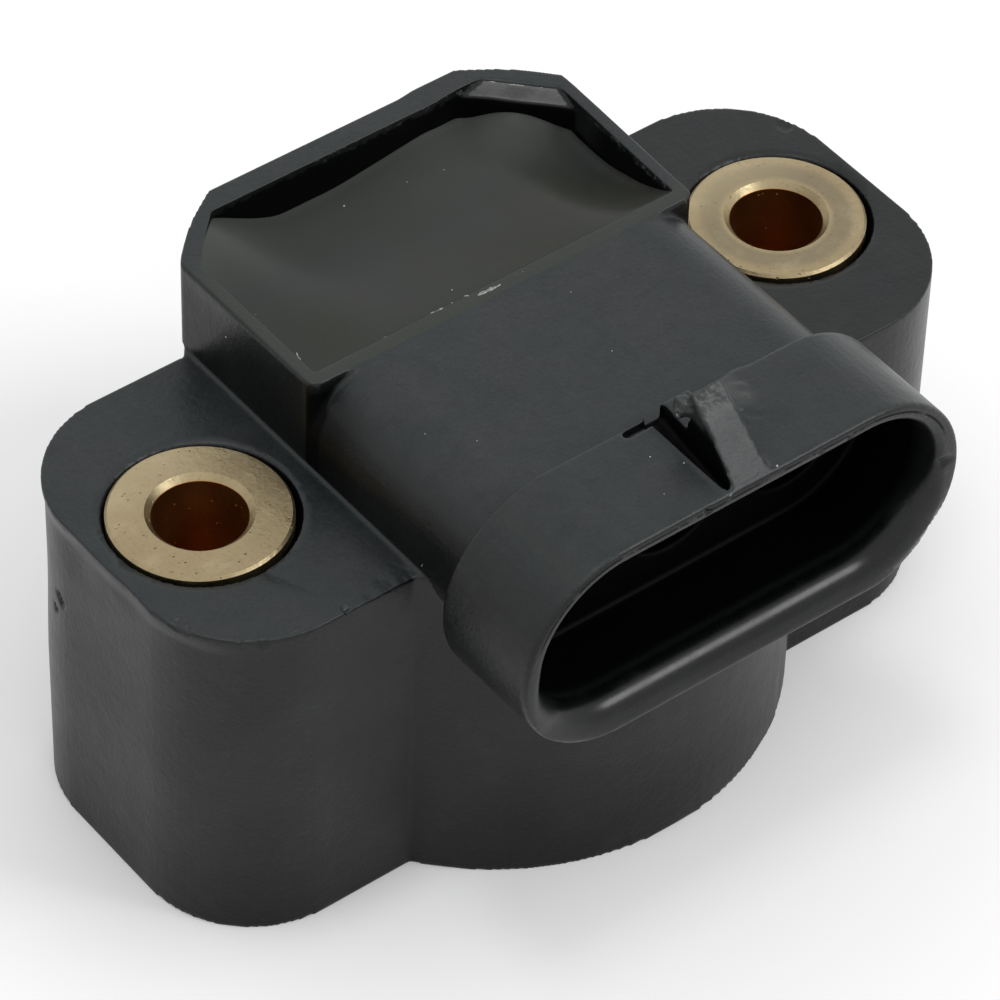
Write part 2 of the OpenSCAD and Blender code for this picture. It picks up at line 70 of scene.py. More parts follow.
back = Vector((-math.sin(AZIMUTH)*math.cos(ELEVATION), -math.cos(AZIMUTH)*math.cos(ELEVATION),
               math.sin(ELEVATION)))
right = (-back).cross(Vector((0, 0, 1))).normalized()
up = right.cross(-back)
camera_x = right*math.cos(ROLL) + up*math.sin(ROLL)
camera_y = up*math.cos(ROLL) - right*math.sin(ROLL)
lens = bpy.data.cameras.new("camera")
lens.sensor_width = SENSOR
lens.lens = FOCAL/PICTURE*SENSOR
lens.clip_start, lens.clip_end = 0.01, 20
camera = bpy.data.objects.new("camera", lens)
camera.matrix_world = (Matrix.Translation(LOOK_AT + back*DISTANCE)
                       @ Matrix((camera_x, camera_y, back)).transposed().to_4x4())
bpy.context.scene.collection.objects.link(camera)
bpy.context.scene.camera = camera
print("camera at", [round(v, 4) for v in camera.matrix_world.translation], "lens", round(lens.lens, 1))

# %% [markdown]
# ## Writing materials as sums
# A procedural material is a graph of small nodes. It could be clicked together, or each node
# could be added and linked in code, which gets long. Here one class wraps a socket, so that
# masks are added and multiplied like numbers, and one method makes any other node.


# %% Sockets that can be added and multiplied
class Wire:
    """One output of a node. Sums with it add Math nodes to its finish."""

    def __init__(self, finish, socket):
        self.finish = finish
        self.socket = socket

    def maths(self, operation, first, second=None, clamp=False):
        values = {0: first} if second is None else {0: first, 1: second}
        return self.finish.node("ShaderNodeMath", {"operation": operation, "use_clamp": clamp}, values)

    def __add__(self, other):
        return self.maths("ADD", self, other)

    def __radd__(self, other):
        return self.maths("ADD", other, self)

    def __sub__(self, other):
        return self.maths("SUBTRACT", self, other)

    def __rsub__(self, other):
        return self.maths("SUBTRACT", other, self)

    def __mul__(self, other):
        return self.maths("MULTIPLY", self, other)

    def __rmul__(self, other):
        return self.maths("MULTIPLY", other, self)

    def __truediv__(self, other):
        return self.maths("DIVIDE", self, other)

    def __pow__(self, other):
        return self.maths("POWER", self, other)

    def over(self, level, width):
        """0 below the level and 1 a width above it, with a soft step between."""
        return self.finish.node("ShaderNodeMapRange", {"interpolation_type": "SMOOTHSTEP"},
                                {"Value": self, "From Min": level, "From Max": level + width})

    def __abs__(self):
        return self.maths("ABSOLUTE", self)

    def sign(self):
        """-1 where it is negative and 1 where it is positive."""
        return self.maths("SIGN", self)

    def clamped(self):
        return self.maths("ADD", self, 0.0, clamp=True)


class Finish:
    """One material and the nodes that make it."""

    def __init__(self, name):
        self.material = bpy.data.materials.new(name)
        self.material.use_nodes = True
        self.tree = self.material.node_tree
        self.tree.nodes.clear()

    def node(self, kind, settings=None, values=None, output=0):
        """Adds a node, makes its settings, fills or links its sockets, and returns an output."""
        made = self.tree.nodes.new(kind)
        for name, value in (settings or {}).items():
            setattr(made, name, value)
        for name, value in (values or {}).items():
            if isinstance(value, Wire):
                self.tree.links.new(value.socket, made.inputs[name])
            else:
                made.inputs[name].default_value = value
        return Wire(self, made.outputs[output]) if len(made.outputs) else None

    def place(self):
        """Object coordinates, in metres."""
        return self.node("ShaderNodeTexCoord", output="Object")

    def axis(self, name):
        """One of the three object coordinates."""
        return self.node("ShaderNodeSeparateXYZ", values={"Vector": self.place()}, output=name)

    def millimetres(self):
        """The three object coordinates in mm."""
        return [self.axis(name)/MM for name in "XYZ"]

    def speckle(self, scale, detail=3.0, rough=0.55, stretch=(1, 1, 1), shift=(0, 0, 0)):
        """Cloudy noise from 0 to 1, with scale in patterns per metre."""
        where = self.node("ShaderNodeMapping", values={"Vector": self.place(), "Scale": stretch,
                                                       "Location": shift})
        return self.node("ShaderNodeTexNoise",
                         values={"Vector": where, "Scale": scale, "Detail": detail, "Roughness": rough})

    def cells(self, scale):
        """Distance to the nearest of many scattered points, in cell widths."""
        return self.node("ShaderNodeTexVoronoi", values={"Vector": self.place(), "Scale": scale},
                         output="Distance")

    def blend(self, amount, first, second):
        """Colour mix: the first colour at 0, the second at 1."""
        return self.node("ShaderNodeMix", {"data_type": "RGBA"},
                         {"Factor": amount, 6: first, 7: second}, output=2)

    def relief(self, height, depth, normal=None, strength=1.0):
        """Bumps of the given depth in metres where the height goes from 0 to 1."""
        values = {"Height": height, "Distance": depth, "Strength": strength}
        if normal is not None:
            values["Normal"] = normal
        return self.node("ShaderNodeBump", values=values)

    def shader(self, **values):
        """The principled shader, with spaces in socket names written as underscores."""
        named = {name.replace("_", " "): value for name, value in values.items()}
        return self.node("ShaderNodeBsdfPrincipled", values=named)

    def closed(self, shader):
        """Links the shader to the output and hands the material back."""
        self.node("ShaderNodeOutputMaterial", values={"Surface": shader})
        return self.material

    def surface(self, **values):
        """A whole material of one principled shader."""
        return self.closed(self.shader(**values))

    def facing_up(self, level, width):
        """0 on walls and 1 on faces that look up."""
        normal = self.node("ShaderNodeNewGeometry", output="Normal")
        height = self.node("ShaderNodeSeparateXYZ", values={"Vector": normal}, output="Z")
        return height.over(level, width)


print("material tools ready")

# %% [markdown]
# ## Black moulded plastic
# Glass-filled nylon is nearly black. What the eye sees on it is the white room, mirrored dimly
# in a satin skin, and a little grey dust on the faces that look up. One dark colour would look
# like a drawing, so the dust follows the normal, and noise of several sizes mottles it. Painted
# shade: deep in the socket, in narrow gaps, on the recess's walls and on walls that see little
# light, a second, near-black shader with hardly any gloss takes over.
# The masks find those places by their coordinates in mm: over(level, width) steps up there.

# %% Where the plastic looks different
MOUTH_Y = -21.45
PITCH = 8.15
SOCKET_Z = 24.0
SOCKET_R = 5.3
SOCKET_BACK = -15.35
CAVITY_R = 3.3
HOLE_X = 20.0


def from_socket_line(x, z):
    """Distance in mm from the line through the three cavities, along which the socket is wide."""
    aside = abs(x) - PITCH
    aside = aside.maths("MAXIMUM", aside, 0.0)
    return (aside**2 + (z - SOCKET_Z)**2)**0.5


def socket_mask(f):
    """1 in the connector's socket, from its rounded lip inwards: painted shade."""
    x, y, z = f.millimetres()
    radius = from_socket_line(x, z)
    wide = 1 - y.over(SOCKET_BACK, 0.3)
    within = 1 - radius.over(CAVITY_R + 0.4 + (SOCKET_R - CAVITY_R)*wide, 0.3)
    return within*y.over(MOUTH_Y + 0.9, 1.6)*(1 - y.over(-7.0, 0.5))


def ramp_side_mask(f):
    """1 in the slot beside the ramp and on the ramp's left side, where no light gets in."""
    x, y, z = f.millimetres()
    normal = f.node("ShaderNodeNewGeometry", output="Normal")
    left = 0 - f.node("ShaderNodeSeparateXYZ", values={"Vector": normal}, output="X")
    box = x.over(-1.62, 0.04)*(1 - x.over(0.2, 0.2))*y.over(-21.3, 0.1)*(1 - y.over(-14.3, 0.1))
    side = left.over(0.45, 0.3)*z.over(29.0, 0.2)*(1 - z.over(31.8, 0.5)*0.85)
    floor = (1 - z.over(30.0, 0.2))*z.over(29.5, 0.1)
    return (box*(side + floor)).clamped()


def torn_mask(f):
    """1 where the ramp's crest is torn and pale."""
    x, y, z = f.millimetres()
    ragged = f.speckle(1500, 3, 0.6, shift=(0.2, 0.6, 0.1))*0.8
    crest = (y + ragged).over(-18.1, 0.5)*z.over(31.6, 0.4)
    beside = (1 - (x + ragged*2).over(4.3, 1.6))*x.over(1.5, 0.2)
    beside = beside*(y + ragged).over(-16.6, 0.6)*z.over(29.9, 0.4)
    return ((crest + beside)*(1 - y.over(-14.0, 0.3))*x.over(-1.7, 0.1)*0.6).clamped()


def polished_mask(f):
    """1 on the mouth's lower lip and on the recess's far ledge, which came out glossy.

    The second part has no limit behind, so it also shows as a faint patch outside the far wall.
    """
    x, y, z = f.millimetres()
    lip = (1 - y.over(MOUTH_Y + 1.6, 0.6))*(1 - z.over(19.6, 1.0))*z.over(16.9, 0.6)
    far = (x + y).over(21.7, 0.2)*(1 - (x + y).over(23.4, 0.15))
    far = far*z.over(26.0, 0.3)*(1 - z.over(28.6, 0.08))
    return (lip + far).clamped()


def seat_gap_mask(f):
    """1 in the gap round each bushing, painted dark as shade, wider at the right and in front."""
    x, y, _ = f.millimetres()
    off = abs(x) - HOLE_X
    radius = (off**2 + y**2)**0.5
    lean = (off*x.sign()*0.45 - y*0.88)/radius
    ragged = (f.speckle(2200, 2) - 0.5)*0.12
    return 1 - (radius + ragged - lean*0.16).over(5.36, 0.07)


def recess_wall_shade_mask(f):
    """1 on the walls of the cap's recess, painted dark as shade up to a ragged line along their top.

    It has no limit at the left rear bevel, so it also darkens a patch on the outside there.
    """
    x, y, z = f.millimetres()
    ragged = f.speckle(1500, 4, 0.7, shift=(0.5, 0.1, 0.3)) - 0.5
    within = (1 - x.over(12.5, 0.1))*(1 - y.over(14.1, 0.1))*(1 - (x + y).over(23.75, 0.1))
    height = (1 - (z + ragged*1.3).over(28.2, 0.25))*z.over(21.0, 0.1)
    wall = 1 - f.facing_up(0.45, 0.3)
    return within*y.over(0.4, 0.2)*height*wall*(1 - abs(x).over(12.6, 0.1))


def rim_film_mask(f):
    """1 where a film of epoxy covers the rim, at the left and in front."""
    x, y, z = f.millimetres()
    left = (1 - x.over(-11.5, 1.0))*(1 - y.over(8.0, 4.0))
    front = (1 - y.over(0.35, 0.3))*y.over(-0.85, 0.2)
    return ((left + front).clamped()*z.over(28.35, 0.2)*f.facing_up(0.8, 0.15)).clamped()


def mouth_line_mask(f):
    """1 on the thin dark line along the upper half of the mouth's rim."""
    x, y, z = f.millimetres()
    radius = from_socket_line(x, z)
    broken = f.speckle(900, 3, 0.7, shift=(0.1, 0.9, 0.3))
    line = radius.over(5.86, 0.04)*(1 - radius.over(6.0, 0.05))
    rim = 1 - y.over(MOUTH_Y + 0.35, 0.1)
    return line*rim*z.over(25.5, 1.5)*broken.over(0.36, 0.12)


def shade_mask(f):
    """Up to 1 where the walls see little light: beside the cap and low down."""
    x, y, z = f.millimetres()
    wall = 1 - f.facing_up(0.45, 0.3)
    step = z.over(22.75, 0.1)*x.over(-13.7, 0.2)*(1 - x.over(13.2, 0.2))
    beside = (1 - x.over(-12.7, 0.6))*(1 - z.over(26.5, 2.0))*y.over(-14.0, 0.3)*0.3
    funnel = abs(x).over(8.0, 3.0)*y.over(-1.5, 0.6)*(1 - y.over(-0.3, 0.2))
    funnel = funnel*(1 - z.over(27.6, 0.9))*0.75
    shoulder = (1 - x.over(-12.7, 2.4))*y.over(-6.0, 5.0)*(1 - y.over(-0.5, 0.2))
    shoulder = shoulder*(1 - z.over(27.3, 1.2))*0.5
    low = (1 - z.over(0.0, 10.0))*0.3
    return (wall*(step*(beside + funnel) + low) + step*shoulder).clamped()


def crumbs_mask(f):
    """Pale crumbs of plastic on the upper part of the recess's far and right walls."""
    x, y, z = f.millimetres()
    right_wall = x.over(12.1, 0.1)*(1 - x.over(12.5, 0.1))
    rear_wall = y.over(13.65, 0.1)*(1 - y.over(14.05, 0.1))
    spots = f.speckle(2600, 3, 0.7, shift=(0.1, 0.2, 0.4)).over(0.56, 0.06)
    upper = z.over(27.5, 1.0)*(1 - f.facing_up(0.3, 0.3))
    return ((right_wall + rear_wall)*spots*upper*x.over(-4.0, 3.0)).clamped()


print("masks ready")


# %% Black plastic
def black_plastic():
    f = Finish("black_plastic")
    cloud = f.speckle(190, 4, 0.6)
    mottle = f.speckle(900, 4, 0.65)
    grain = f.speckle(3600, 3, 0.7)
    fibre = f.speckle(5200, 2, 0.5, stretch=(1, 0.35, 1))
    fine = f.speckle(9500, 2, 0.6)
    # Painted shade: the near-black shader takes over in the socket, the ramp's slot, the gaps round the
    # bushings, on the recess's walls and on walls that see little light, and it also draws the thin
    # dark line on the mouth's rim.
    hidden = (socket_mask(f) + ramp_side_mask(f) + seat_gap_mask(f)).clamped()
    shade_and_dark_line = (hidden + recess_wall_shade_mask(f)*0.9 + mouth_line_mask(f)*0.85 + shade_mask(f)).clamped()
    polish = polished_mask(f)
    colour = f.blend(mottle, (0.0008, 0.0011, 0.0011, 1), (0.0022, 0.0027, 0.0027, 1))
    patches = f.speckle(130, 5, 0.62, shift=(0.7, 0.2, 0.5)).over(0.44, 0.22)
    colour = f.blend(patches*0.6, colour, (0.0085, 0.0095, 0.009, 1))
    scuffs = f.speckle(420, 5, 0.7, shift=(0.3, 0.1, 0.2)).over(0.56, 0.2)*0.5
    colour = f.blend((scuffs*grain*0.9).clamped(), colour, (0.032, 0.035, 0.035, 1))
    level = f.facing_up(0.45, 0.5)
    powder = level*(cloud*0.6 + mottle*0.75 + grain*0.5 + (fine - 0.5)*1.2 + 0.07)
    powder = powder*(1 - (f.axis("X")/MM).over(12.0, 5.0)*0.6)*(1 - polish)
    tint = f.blend(cloud.over(0.4, 0.2), (0.0235, 0.031, 0.034, 1), (0.026, 0.030, 0.032, 1))
    colour = f.blend((powder*0.62).clamped(), colour, tint)
    colour = f.blend(rim_film_mask(f)*0.95, colour, (0.023, 0.026, 0.022, 1))
    specks = (1 - level)*fine.over(0.5, 0.2)*0.30
    colour = f.blend(specks, colour, (0.021, 0.023, 0.023, 1))
    colour = f.blend(crumbs_mask(f)*0.8, colour, (0.07, 0.075, 0.075, 1))
    colour = f.blend(torn_mask(f)*(0.25 + grain*0.9), colour, (0.060, 0.063, 0.063, 1))
    gloss = 0.36 + (cloud - 0.5)*0.14 + (mottle - 0.5)*0.12 - polish*0.10
    rugged = 1 - polish*0.85
    bumps = f.relief(grain*rugged, 0.00003, strength=0.5)
    bumps = f.relief(fibre*rugged, 0.000012, normal=bumps, strength=0.3)
    bumps = f.relief(mottle*rugged, 0.00005, normal=bumps, strength=0.45)
    bumps = f.relief(cloud*rugged, 0.0002, normal=bumps, strength=0.35)
    open_face = f.shader(Base_Color=colour, Roughness=gloss, Normal=bumps, Specular_IOR_Level=0.3)
    # A near-black shader with hardly any gloss, which paints shade.
    near_black = f.shader(Base_Color=(0.0006, 0.0007, 0.0008, 1), Roughness=0.5, Normal=bumps,
                    Specular_IOR_Level=0.05)
    return f.closed(f.node("ShaderNodeMixShader", values={0: shade_and_dark_line, 1: open_face, 2: near_black}))


plastic = black_plastic()
print("made", plastic.name)

# %% [markdown]
# ## Epoxy
# The epoxy that seals the cap has levelled itself, so its face is smoother than the moulding,
# and a little browner. Low, wide noise gives it the faint clouding of a cast resin.

# %% Epoxy
def cast_epoxy():
    f = Finish("epoxy")
    cloud = f.speckle(170, 4, 0.6)
    warm = f.speckle(90, 2, 0.5, shift=(0.4, 0.2, 0.0))
    grain = f.speckle(3600, 3, 0.7)
    amount = (cloud*0.6 + grain*0.5 - 0.1).clamped()
    colour = f.blend(amount, (0.018, 0.020, 0.0158, 1), (0.039, 0.041, 0.0355, 1))
    colour = f.blend(warm.over(0.45, 0.2)*0.5, colour, (0.028, 0.031, 0.033, 1))
    # Painted light: the epoxy is paler towards the far wall, to offset the wall's shade there.
    painted_light_behind = (f.axis("Y")/MM).over(6.5, 7.0)
    colour = f.blend(painted_light_behind*0.9, colour, (0.052, 0.055, 0.050, 1))
    gloss = 0.40 + (cloud - 0.5)*0.12 + (grain - 0.5)*0.08
    bumps = f.relief(grain, 0.00002, strength=0.35)
    bumps = f.relief(cloud, 0.0002, normal=bumps, strength=0.3)
    return f.surface(Base_Color=colour, Roughness=gloss, Normal=bumps, Specular_IOR_Level=0.14)


epoxy = cast_epoxy()
print("made", epoxy.name)

# %% [markdown]
# ## Turned brass
# The bushings are cut from brass tube. Their end faces have gone dull and are pitted, and each
# is paler towards the back as a painted sheen. The bore is oxidised redder, and light reaches
# it only after several reflections; its colour also holds painted light, brighter orange deeper
# down, and painted shade at its sides. The same material serves both: the distance from the
# bushing's own axis tells it which is which.

# %% Brass
BORE_R = 2.65


def turned_brass():
    f = Finish("brass")
    cloud = f.speckle(500, 4, 0.6)
    fine = f.speckle(4200, 3, 0.6)
    x, y, z = f.millimetres()
    off = abs(x) - HOLE_X
    radius = (off**2 + y**2)**0.5
    bore = 1 - radius.over(BORE_R + 0.01, 0.02)
    pits = (1 - f.cells(2300).over(0.08, 0.12))*f.speckle(900, 2).over(0.5, 0.1)
    colour = f.blend(cloud, (0.285, 0.22, 0.122, 1), (0.42, 0.345, 0.21, 1))
    band = radius.over(3.0, 0.4)*(1 - radius.over(4.0, 0.7))
    colour = f.blend(x.over(5.0, 1.0)*band*0.75, colour, (0.22, 0.185, 0.125, 1))
    colour = f.blend(cloud.over(0.5, 0.2)*radius.over(3.2, 1.4)*0.35, colour, (0.50, 0.425, 0.27, 1))
    colour = f.blend((pits*0.7).clamped(), colour, (0.13, 0.085, 0.045, 1))
    colour = f.blend((fine.over(0.54, 0.14)*0.35).clamped(), colour, (0.20, 0.155, 0.09, 1))
    # Red oxide in the bore, with painted light: brighter orange deeper down.
    bore_oxide_and_glow = f.blend(((22.4 - z)/5.0).clamped(), (0.38, 0.175, 0.05, 1), (0.92, 0.42, 0.09, 1))
    # Painted shade: the bore's sides, across the view, are darker.
    turn = (off*x.sign()*0.777 - y*0.629)/BORE_R
    bore_oxide_and_glow = f.blend((turn**2*0.6).clamped(), bore_oxide_and_glow, (0.10, 0.045, 0.02, 1))
    # Painted sheen: each end face is paler towards the back.
    colour = f.blend(y.over(1.0, 3.5)*0.35, colour, (0.50, 0.425, 0.27, 1))
    colour = f.blend(bore, colour, bore_oxide_and_glow)
    gloss = 0.40 + (cloud - 0.5)*0.2 + pits*0.2
    worn = f.speckle(700, 3, 0.6, shift=(0.3, 0.3, 0.1)).over(0.42, 0.2)
    bumps = f.relief(fine*(0.5 + worn), 0.00002, strength=0.7)
    bumps = f.relief(1 - pits, 0.00008, normal=bumps, strength=0.6)
    return f.surface(Base_Color=colour, Roughness=gloss, Metallic=1.0, Normal=bumps)


brass = turned_brass()
print("made", brass.name)

# %% [markdown]
# ## Finishes inside
# The rotor, board, spring and seals show only from below or through the mouth. Each still gets
# its own finish, with the fine variation that such a part has.

# %% Inner finishes
def inner_finish(name, dark, light, rough, metal=0.0, scale=900):
    f = Finish(name)
    cloud = f.speckle(scale, 3, 0.55)
    fine = f.speckle(scale*6, 2, 0.5)
    colour = f.blend(cloud, dark + (1,), light + (1,))
    gloss = rough + (fine - 0.5)*0.14
    bumps = f.relief(fine, 0.00002, strength=0.4)
    return f.surface(Base_Color=colour, Roughness=gloss, Metallic=metal, Normal=bumps)


tinned = inner_finish("tinned", (0.50, 0.50, 0.48), (0.64, 0.64, 0.61), 0.32, 1.0)
phenolic = inner_finish("phenolic", (0.16, 0.075, 0.03), (0.24, 0.12, 0.05), 0.5)
nylon = inner_finish("nylon", (0.52, 0.50, 0.43), (0.66, 0.64, 0.56), 0.45)
steel = inner_finish("spring_steel", (0.36, 0.36, 0.36), (0.48, 0.48, 0.47), 0.3, 1.0)
bronze = inner_finish("bronze", (0.50, 0.30, 0.15), (0.60, 0.38, 0.20), 0.35, 1.0)
rubber = inner_finish("elastomer", (0.018, 0.018, 0.018), (0.03, 0.03, 0.03), 0.6)
finish_of = {"terminal_supply": tinned, "terminal_signal": tinned, "terminal_ground": tinned,
             "link_pin_supply": tinned, "link_pin_signal": tinned, "link_pin_ground": tinned,
             "element_board": phenolic, "pivot_bush": bronze, "rotor": nylon,
             "drive_clip": steel, "wiper": bronze, "return_spring": steel,
             "thrust_washer": steel, "retainer": plastic, "shaft_seal": rubber,
             "mounting_seal": rubber, "potting_fill": epoxy, "bushing_left": brass,
             "bushing_right": brass, "housing": plastic}
for node_name, finish in finish_of.items():
    for material_slot in nodes[node_name].material_slots:
        material_slot.material = finish
print("finished", len(finish_of), "CAD nodes")

# %% [markdown]
# ## A copy of the moulding
# The exact solid has sharp edges, and a real moulding has none. It could be modelled again from
# scratch, but a copy of the solid's own mesh keeps every size. Its loose triangles are merged
# first, so that cuts and casts start from whole faces.


# %% Helpers for copies of CAD nodes
def merged_copy(node_name):
    """The node's mesh with its loose triangles joined and its flat faces made whole."""
    bm = bmesh.new()
    bm.from_mesh(nodes[node_name].data)
    bmesh.ops.remove_doubles(bm, verts=bm.verts, dist=0.0005*MM)
    bmesh.ops.dissolve_limit(bm, angle_limit=math.radians(0.5), verts=bm.verts, edges=bm.edges)
    return bm


def finished(bm, name, material, body="base", smooth_angle=35):
    """Makes an object of the mesh at the origin, shaded smooth up to the angle."""
    mesh = bpy.data.meshes.new(name)
    bm.to_mesh(mesh)
    bm.free()
    mesh.materials.append(material)
    mesh.shade_smooth()
    mesh.set_sharp_from_angle(angle=math.radians(smooth_angle))
    piece = bpy.data.objects.new(name, mesh)
    bpy.context.scene.collection.objects.link(piece)
    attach(piece, body)
    return piece


print("copy tools ready")

# %% [markdown]
# ## Clay tools
# Nicks, torn edges and other damage are easier to press into a dense skin than to cut from a
# solid, as with clay. A sculpting brush would do it by hand. In code, a search tree finds the
# points near a place, and a line of sight finds the place that a spot in the picture shows.


# %% Working a dense skin
def applied(piece):
    """Turns the piece's modifiers into mesh."""
    shape = piece.evaluated_get(bpy.context.evaluated_depsgraph_get())
    mesh = bpy.data.meshes.new_from_object(shape)
    old = piece.data
    piece.modifiers.clear()
    piece.data = mesh
    bpy.data.meshes.remove(old)


def touched(tree, across, down):
    """Where the line of sight through a pixel of the picture meets the part."""
    aim = (camera_x*(across - MIDDLE) + camera_y*(MIDDLE - down) - back*FOCAL).normalized()
    place, normal, _, _ = tree.ray_cast(camera.matrix_world.translation, aim)
    return place, normal


def ease(value):
    """Goes smoothly from 0 to 1 as the value does."""
    value = min(max(value, 0.0), 1.0)
    return value*value*(3 - 2*value)


def ripple(place, size, seed=0.0):
    """Smooth noise between -1 and 1 with lumps of the given size in mm."""
    return noise.noise(place/(size*MM) + Vector((seed, seed*0.7, -seed)))


DENT_GRAIN = 0.35


class Clay:
    """A dense skin whose points can be found by place and pushed."""

    def __init__(self, mesh):
        self.points = mesh.vertices
        self.tree = kdtree.KDTree(len(self.points))
        for point in self.points:
            self.tree.insert(point.co, point.index)
        self.tree.balance()
        self.surface = bvhtree.BVHTree.FromPolygons([p.co for p in self.points],
                                                    [p.vertices for p in mesh.polygons])

    def dent(self, across, down, reach, depth, rough=0.5):
        """Presses in the place seen in the picture, by up to the depth, in mm."""
        centre, outward = touched(self.surface, across, down)
        if centre is None:
            print("no surface at", across, down)
            return
        for place, index, distance in self.tree.find_range(centre, reach*MM):
            fall = ease(1 - distance/(reach*MM))
            push = depth*MM*fall*(1 - rough + rough*2*abs(ripple(place, DENT_GRAIN)))
            self.points[index].co = self.points[index].co - outward*push


print("clay tools ready")

# %% [markdown]
# ## Forms that the picture shows on the moulding
# Two cuts are made in the copy: a deep slot along the ramp's left side, and one that leaves only
# a low rib behind its broken crest. Then a sloping ledge is joined to the recess's far corner,
# and mounds of torn plastic to the ramp. Blocks are cubes whose corners are moved one by one.


# %% Blocks, mounds and cuts
def block(bm, corner):
    """A six-sided block. corner(side, depth, level) gives each corner in mm, from its signs."""
    for v in bmesh.ops.create_cube(bm, size=2)["verts"]:
        v.co = Vector(corner(*(1 if c > 0 else -1 for c in v.co)))*MM


def mound(bm, centre, radii, rough, seed):
    """A ragged blob: a ball, stretched and pushed about by noise."""
    for v in bmesh.ops.create_icosphere(bm, subdivisions=4, radius=1)["verts"]:
        swell = 1 + rough*(noise.noise(v.co*1.6 + Vector((seed, 0, 0)))
                           + 0.7*noise.noise(v.co*4.5 + Vector((0, seed, 0))))
        v.co = Vector([(centre[i] + v.co[i]*swell*radii[i])*MM for i in range(3)])


LEDGE_START = Vector((9.2, 13.55, 0))
LEDGE_LENGTH = 4.384
LEDGE_RUN = 1.1
LEDGE_HIGH = 28.68
LEDGE_LOW = 28.12
LEDGE_FOOT = 25.5


def ledge_corner(side, depth, level):
    """The ledge runs along the recess's bevel and slopes inwards from its far wall."""
    run = -0.06 if depth < 0 else LEDGE_RUN
    spread = run + 0.15 if depth > 0 else 0.3
    along = LEDGE_LENGTH + spread if side > 0 else -spread
    top = LEDGE_LOW if depth > 0 else LEDGE_HIGH
    place = LEDGE_START + Vector((1, -1, 0)).normalized()*along
    place += Vector((-1, -1, 0)).normalized()*run
    return place.x, place.y, top if level > 0 else LEDGE_FOOT


CUT_TOP = 36


def slot_corner(side, depth, level):
    """The slot beside the ramp is wider at the back."""
    right = -0.3 if depth > 0 else -1.05
    return (right if side > 0 else -1.5, -14.4 if depth > 0 else -21.1,
            CUT_TOP if level > 0 else 29.75)


def rib_corner(side, depth, level):
    """What is cut away above the low rib, behind the ramp's crest."""
    return 2 if side > 0 else -2, -14.0 if depth > 0 else -16.75, CUT_TOP if level > 0 else 30.85


def cut(piece, cutter, name):
    """Takes the cutter's shape out of the piece."""
    bmesh.ops.recalc_face_normals(cutter, faces=cutter.faces)
    mesh = bpy.data.meshes.new(name)
    cutter.to_mesh(mesh)
    cutter.free()
    tool = bpy.data.objects.new(name, mesh)
    bpy.context.scene.collection.objects.link(tool)
    taken = piece.modifiers.new(name, "BOOLEAN")
    taken.operation = "DIFFERENCE"
    taken.solver = "MANIFOLD"
    taken.object = tool
    applied(piece)
    bpy.data.objects.remove(tool)
    bpy.data.meshes.remove(mesh)


housing = finished(merged_copy("housing"), "housing_skin", plastic)
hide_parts("housing")
for tool_name, corner in (("slot", slot_corner), ("rib", rib_corner)):
    tool = bmesh.new()
    block(tool, corner)
    cut(housing, tool, tool_name)
print("after the cuts:", len(housing.data.polygons), "faces")

forms = bmesh.new()
forms.from_mesh(housing.data)
block(forms, ledge_corner)
mound(forms, centre=(3.0, -15.7, 30.1), radii=(1.8, 1.3, 0.45), rough=0.3, seed=2.0)
mound(forms, centre=(4.4, -14.35, 29.5), radii=(2.0, 0.6, 0.7), rough=0.2, seed=3.0)
mound(forms, centre=(-0.85, -16.6, 32.65), radii=(0.5, 0.5, 0.6), rough=0.5, seed=5.0)
bmesh.ops.recalc_face_normals(forms, faces=forms.faces)
print("faces before casting:", len(forms.faces))

# %% [markdown]
# ## Casting the housing
# Every moulded edge has a small radius, and concave corners are never quite sharp. A bevel of
# each edge of the exact solid is one way, but it leaves slivers where many edges meet. Here a
# voxel remesh casts the whole shape anew in cells of 0.14 mm, which joins the added forms and
# rounds every edge alike. The dense skin is then worked, and thinned at the end.

# %% Casting
CELL = 0.14
forms.to_mesh(housing.data)
forms.free()
cast = housing.modifiers.new("cast", "REMESH")
cast.mode = "VOXEL"
cast.voxel_size = CELL*MM
soften = housing.modifiers.new("soften", "SMOOTH")
soften.iterations = 2
soften.factor = 0.5
applied(housing)
print("cast:", len(housing.data.polygons), "faces")

# %% [markdown]
# ## Shaping the cast skin
# The picture's outline lies a little outside the solids in some places and inside them in others,
# and the mouth's lip is rounder below than above. Each form is a short function that moves one
# point by its place in the solid, with soft edges, so that no step shows where it ends.

# %% Forms worked into the skin
SHROUD_STRAIGHT = 7.875
SHROUD_Z = 23.5
SHROUD_SWELL = 0.33
EAR_TOP = 22.7
EAR_HOLLOW = 0.2
FAR_WALL_OUT = 0.3
FAR_CORNER_OUT = 0.35
RIGHT_WALL_OUT = 0.36
LIP_TOP_R = 0.5
LIP_MORE_BELOW = 1.15
GAP_OUTER_R = 5.75
TORN_OUT = Vector((0, -0.45, 0.89))


def far_wall(point, x, y, z):
    """The cap's far wall and far corner stand a little further out."""
    if y > 1.0 and z > 14.0:
        above = z > EAR_TOP + 0.1
        rear = ease((y - 11.0 + (0.8*ease((-x - 9.0)/3.0) if above else 0.0))/1.5)
        corner = ease((x + y - 19.5)/1.6)*ease((y - 8.0)/1.5)
        wider = min((y - 1.0)/9.0, 1.0)*ease((x - 6.0)/3.0)
        if not above:
            corner *= 1 - ease((x - 11.8)/1.0)
            wider *= 1 - ease((x - 11.8)/1.0)
        fade = ease((z - 14.0)/9.0)*(1 - ease((y - 15.3)/0.6))
        point.co.x += RIGHT_WALL_OUT*wider*fade*MM
        point.co.y += (FAR_WALL_OUT*rear + (FAR_CORNER_OUT - 0.2*rear)*corner)*fade*MM


